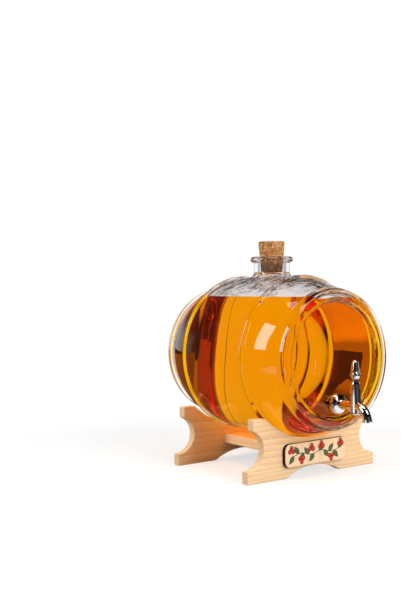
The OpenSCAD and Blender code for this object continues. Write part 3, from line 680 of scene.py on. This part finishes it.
skin = add(tree, "BsdfPrincipled", {"Base Color": shaded_foot.outputs[2], "Roughness": 0.85,
                                    "Normal": bump.outputs[0]})
tree.links.new(skin.outputs[0], out.inputs["Surface"])
cork.data.materials.append(granular)

# Tap: chromed brass castings held in the front head by a nut from inside, with rubber seals on both faces.
# The plug inside turns with the bud-shaped handle, which a pin holds on its stem.


def metal(name, colour, smooth, rough, size):
    """A metal finish: its own colour, which its reflections take on, and a fine unevenness of the polish of
    the given size in mm."""
    made, tree, out = material(name)
    place = add(tree, "TexCoord", {}).outputs["Object"]
    worn = add(tree, "TexNoise", {"Vector": place, "Scale": 1 / (size * MM), "Detail": 4.0})
    gloss = add(tree, "MapRange", {"Value": worn.outputs["Fac"], "To Min": smooth, "To Max": rough})
    face = add(tree, "BsdfPrincipled", {"Base Color": linear(colour), "Metallic": 1.0,
                                        "Roughness": gloss.outputs[0]})
    tree.links.new(face.outputs[0], out.inputs["Surface"])
    return made


chrome = metal("polished chrome", "#EDEFF1", 0.02, 0.09, 4)
steel = metal("turned steel", "#B9BBBD", 0.22, 0.4, 1.5)
brass = metal("turned brass", "#C9A55A", 0.2, 0.36, 1.5)

# Silicone rubber: milky and half clear, with a faint bloom on its moulded skin.
rubber, tree, out = material("pale silicone rubber")
place = add(tree, "TexCoord", {}).outputs["Object"]
bloom = add(tree, "TexNoise", {"Vector": place, "Scale": 1 / (2 * MM), "Detail": 4.0})
milky = add(tree, "Mix", {0: bloom.outputs["Fac"], 6: linear("#E9E6DF"), 7: linear("#D5D1C8")},
            data_type="RGBA")
skin = add(tree, "BsdfPrincipled", {"Base Color": milky.outputs[2], "Roughness": 0.45, "IOR": 1.41,
                                    "Transmission Weight": 0.5})
tree.links.new(skin.outputs[0], out.inputs["Surface"])
for finish, nodes in ((chrome, ("tap_rosette", "tap_body", "tap_collar", "plug_nut", "tap_handle")),
                      (steel, ("inner_washer", "shank_nut", "plug_washer", "handle_pin")),
                      (brass, ("tap_plug",)),
                      (rubber, ("outer_tap_gasket", "inner_tap_gasket", "plug_o_rings"))):
    for node in nodes:
        dress(node, finish)

# Studio: a white paper sweep under and behind the object, and a dark room in front of it, which show
# through glass and in metal. Two dark cards give glass and metal their dark parts, soft lamps light the
# object, and the camera stands where the photograph's stood.
CAMERA_AT = (-0.7161, -0.81925, 0.2272)
CAMERA_AZIMUTH, CAMERA_PITCH, CAMERA_ROLL = np.radians(35.563), -0.015, -0.011
PIXELS_LONG, FOCAL_PIXELS, SENSOR = 601, 862.363, 36.0
FORWARD = (float(np.sin(CAMERA_AZIMUTH)), float(np.cos(CAMERA_AZIMUTH)), 0.0)
SIDEWAYS = (FORWARD[1], -FORWARD[0], 0.0)
WHITE = (1, 1, 1, 1)
SWEEP_EDGE = ((0.5, 0.7), (1.0, 0.45))
CLEAR_FACES, LAMPS_THROUGH_GLASS = 4.5, 3.5
FLOOR_HALF = 4.0
MIRRORED = (((0.12, -0.36, 0.0), (0.22, 0.36)), ((-0.66, -0.2, 0.0), (0.2, 0.3)))


def shade(tree, *fades):
    """A level made of fades, multiplied: each is a value, the two ends that it runs between and the levels
    at those ends, with a smooth step from one to the other."""
    level = 1.0
    for value, (start, end), (first, last) in fades:
        step = add(tree, "MapRange", {"Value": value, "From Min": start, "From Max": end, "To Min": first,
                                      "To Max": last}, interpolation_type="SMOOTHSTEP")
        level = add(tree, "Math", {0: level, 1: step.outputs[0]}, operation="MULTIPLY").outputs[0]
    return level


def aside(tree, direction):
    """How far a direction leans to either side of the photograph's view, from 0 to 1."""
    lean = add(tree, "VectorMath", {0: direction, 1: SIDEWAYS}, operation="DOT_PRODUCT")
    return add(tree, "Math", {0: lean.outputs["Value"]}, operation="ABSOLUTE").outputs[0]


world = bpy.data.worlds.new("white sweep")
bpy.context.scene.world = world
world.use_nodes = True
tree = world.node_tree
tree.nodes.clear()
path = add(tree, "LightPath", {})
way = add(tree, "TexCoord", {}).outputs["Generated"]
ahead = add(tree, "VectorMath", {0: way, 1: FORWARD}, operation="DOT_PRODUCT").outputs["Value"]
above = add(tree, "SeparateXYZ", {"Vector": way}).outputs["Z"]

# A ray through the empty top of the barrel crosses four faces of glass, and one through the drink more.
# The ceiling starts lower for the first. Lamps shine through no glass here, so for light that wood and cork
# get through it, the sweep stands for the lamps.
drunk = add(tree, "Math", {0: path.outputs["Transmission Depth"], 1: CLEAR_FACES}, operation="GREATER_THAN")
ceiling = add(tree, "Mix", {0: drunk.outputs[0], 2: shade(tree, (above, (0.25, 0.33), (1.0, 0.0))),
                            3: shade(tree, (above, (0.5, 0.65), (1.0, 0.25)))}).outputs[0]
room = shade(tree, (ahead, (-0.3, 0.1), (0.4, 1.0)), (aside(tree, way), *SWEEP_EDGE))
through = add(tree, "Math", {0: ceiling, 1: room}, operation="MULTIPLY").outputs[0]
scattered = add(tree, "Math", {0: path.outputs["Diffuse Depth"], 1: 0.5}, operation="GREATER_THAN")
through = add(tree, "Mix", {0: scattered.outputs[0], 2: through, 3: LAMPS_THROUGH_GLASS}).outputs[0]
mirrored = shade(tree, (above, (0.1, 0.3), (1.0, 0.05)), (ahead, (0.3, 0.75), (0.03, 1.0)))
level = add(tree, "MapRange", {"Value": ahead, "From Min": -0.5, "From Max": 0.5, "To Min": 0.2,
                               "To Max": 0.7}).outputs[0]
for ray, shown in (("Is Glossy Ray", mirrored), ("Is Transmission Ray", through), ("Is Camera Ray", 1.0)):
    level = add(tree, "Mix", {0: path.outputs[ray], 2: level, 3: shown}).outputs[0]
sky = add(tree, "Background", {"Color": WHITE, "Strength": level})
add(tree, "OutputWorld", {"Surface": sky.outputs[0]})

mesh = bpy.data.meshes.new("floor")
mesh.from_pydata([(x * FLOOR_HALF, y * FLOOR_HALF, 0) for x, y in ((-1, -1), (1, -1), (1, 1), (-1, 1))],
                 [], [(0, 1, 2, 3)])
floor = bpy.data.objects.new("floor", mesh)
bpy.context.scene.collection.objects.link(floor)

# White paper: white to the eye, with the object's soft shadow near it. Through glass it darkens towards the
# front and its sides, and metal shows it white in two patches only.
paper, tree, out = material("white paper sweep")
path = add(tree, "LightPath", {})
by_eye, by_glass = path.outputs["Is Camera Ray"], path.outputs["Is Transmission Ray"]
place = add(tree, "TexCoord", {}).outputs["Object"]
run = add(tree, "VectorMath", {0: place}, operation="LENGTH").outputs["Value"]
outward = add(tree, "VectorMath", {0: place}, operation="NORMALIZE").outputs[0]
depth = add(tree, "SeparateXYZ", {"Vector": place}).outputs["Y"]
lit = add(tree, "MapRange", {"Value": path.outputs["Is Diffuse Ray"], "To Min": 0.95, "To Max": 0.25})
skin = add(tree, "BsdfDiffuse", {"Color": lit.outputs[0]})
sides = add(tree, "Mix", {0: shade(tree, (run, (0.4, 0.7), (0.0, 1.0))), 2: 1.0,
                          3: shade(tree, (aside(tree, outward), *SWEEP_EDGE))}).outputs[0]
front = shade(tree, (depth, (-0.24, -0.04), (0.08, 1.0)), (run, (0.1, 0.4), (0.7, 1.0)))
dim = add(tree, "Math", {0: front, 1: sides}, operation="MULTIPLY").outputs[0]
strength = add(tree, "Mix", {0: by_eye, 2: dim, 3: 1.0}).outputs[0]
glow = add(tree, "Emission", {"Color": WHITE, "Strength": strength})
near = shade(tree, (run, (0.25, 0.55), (1.0, 0.0)))
share = add(tree, "Mix", {0: by_eye, 2: 1.0, 3: shade(tree, (near, (0.0, 1.0), (1.0, 0.6)))}).outputs[0]
seen = add(tree, "Math", {0: by_eye, 1: by_glass}, operation="MAXIMUM").outputs[0]
white = add(tree, "Math", {0: seen, 1: share}, operation="MULTIPLY").outputs[0]
both = add(tree, "MixShader", {0: white, 1: skin.outputs[0], 2: glow.outputs[0]})
patches = []
for middle, ends in MIRRORED:
    off = add(tree, "VectorMath", {0: place, 1: middle}, operation="DISTANCE").outputs["Value"]
    patches.append(shade(tree, (off, ends, (1.0, 0.0))))
patch = add(tree, "Math", {0: patches[0], 1: patches[1]}, operation="MAXIMUM").outputs[0]
dusk = add(tree, "Emission", {"Color": WHITE, "Strength": 0.03})
shine = add(tree, "Emission", {"Color": WHITE, "Strength": 1.0})
mirror = add(tree, "MixShader", {0: patch, 1: dusk.outputs[0], 2: shine.outputs[0]})
by_metal = add(tree, "Math", {0: path.outputs["Is Glossy Ray"], 1: by_glass}, operation="SUBTRACT",
               use_clamp=True).outputs[0]
last = add(tree, "MixShader", {0: by_metal, 1: both.outputs[0], 2: mirror.outputs[0]})
tree.links.new(last.outputs[0], out.inputs["Surface"])
floor.data.materials.append(paper)


def card(name, azimuth, run, width, low, high, level):
    """A dark upright card that faces the middle of the barrel from an azimuth in degrees and a distance.
    Only glass and metal show it."""
    turn = np.radians(azimuth)
    over, along = np.array((np.sin(turn), np.cos(turn), 0)), np.array((np.cos(turn), -np.sin(turn), 0))
    middle = over * run + (0, MID_Y * MM, 0)
    corners = [middle + along * side * width / 2 + (0, 0, z)
               for side, z in ((-1, low), (1, low), (1, high), (-1, high))]
    mesh = bpy.data.meshes.new(name)
    mesh.from_pydata(corners, [], [(0, 1, 2, 3)])
    made = bpy.data.objects.new(name, mesh)
    bpy.context.scene.collection.objects.link(made)
    made.visible_camera = made.visible_diffuse = made.visible_shadow = False
    dull, tree, out = material("dark card, " + name)
    grey = add(tree, "Emission", {"Color": WHITE, "Strength": level})
    tree.links.new(grey.outputs[0], out.inputs["Surface"])
    made.data.materials.append(dull)


card("rear flag", azimuth=-46, run=0.70, width=0.34, low=0.08, high=0.90, level=0.06)
card("front flag", azimuth=180, run=0.85, width=0.36, low=0.0, high=0.33, level=0.1)


def lamp(name, at, aim, size, watts):
    """A rectangular soft lamp that faces a point and doesn't show through glass."""
    data = bpy.data.lights.new(name, "AREA")
    data.shape, data.size, data.size_y, data.energy = "RECTANGLE", *size, watts
    made = bpy.data.objects.new(name, data)
    made.location = at
    made.rotation_euler = (Vector(aim) - Vector(at)).to_track_quat("-Z", "Y").to_euler()
    made.visible_transmission = False
    bpy.context.scene.collection.objects.link(made)
    return made


lamp("side softbox", (-1.20, 0.225, 0.76), (-0.085, -0.064, 0.17), (0.31, 0.80), 6.2)
lamp("front softbox", (0.0, -1.0, 1.0), (0, -0.12, 0.1), (0.45, 0.6), 3.0)
lamp("top softbox", (-0.15, -0.2, 1.5), (0, 0, 0.14), (0.8, 0.6), 5.5)
lamp("front lamp", (0.25, -1.35, 0.5), (0, 0, 0.08), (0.8, 0.8), 15.0).visible_glossy = False
lamp("left lamp", (-1.35, 0.17, 0.3), (0, 0.17, 0.05), (0.5, 0.4), 5.0).visible_glossy = False

forward = Vector(FORWARD) * np.cos(CAMERA_PITCH) + Vector((0, 0, np.sin(CAMERA_PITCH)))
right = Vector(SIDEWAYS)
up = right.cross(forward)
tilted = right * np.cos(CAMERA_ROLL) + up * np.sin(CAMERA_ROLL)
up = up * np.cos(CAMERA_ROLL) - right * np.sin(CAMERA_ROLL)
view = bpy.data.cameras.new("camera")
view.sensor_width, view.lens = SENSOR, FOCAL_PIXELS / PIXELS_LONG * SENSOR
camera = bpy.data.objects.new("camera", view)
camera.matrix_world = Matrix.Translation(CAMERA_AT) @ Matrix((tilted, up, -forward)).transposed().to_4x4()
bpy.context.scene.collection.objects.link(camera)
bpy.context.scene.camera = camera
bpy.context.scene.view_settings.view_transform = "Standard"

# Light crosses many faces of glass and drink before it leaves the barrel.
bpy.context.scene.cycles.max_bounces = 40
bpy.context.scene.cycles.transmission_bounces = 36
bpy.context.scene.cycles.glossy_bounces = 36
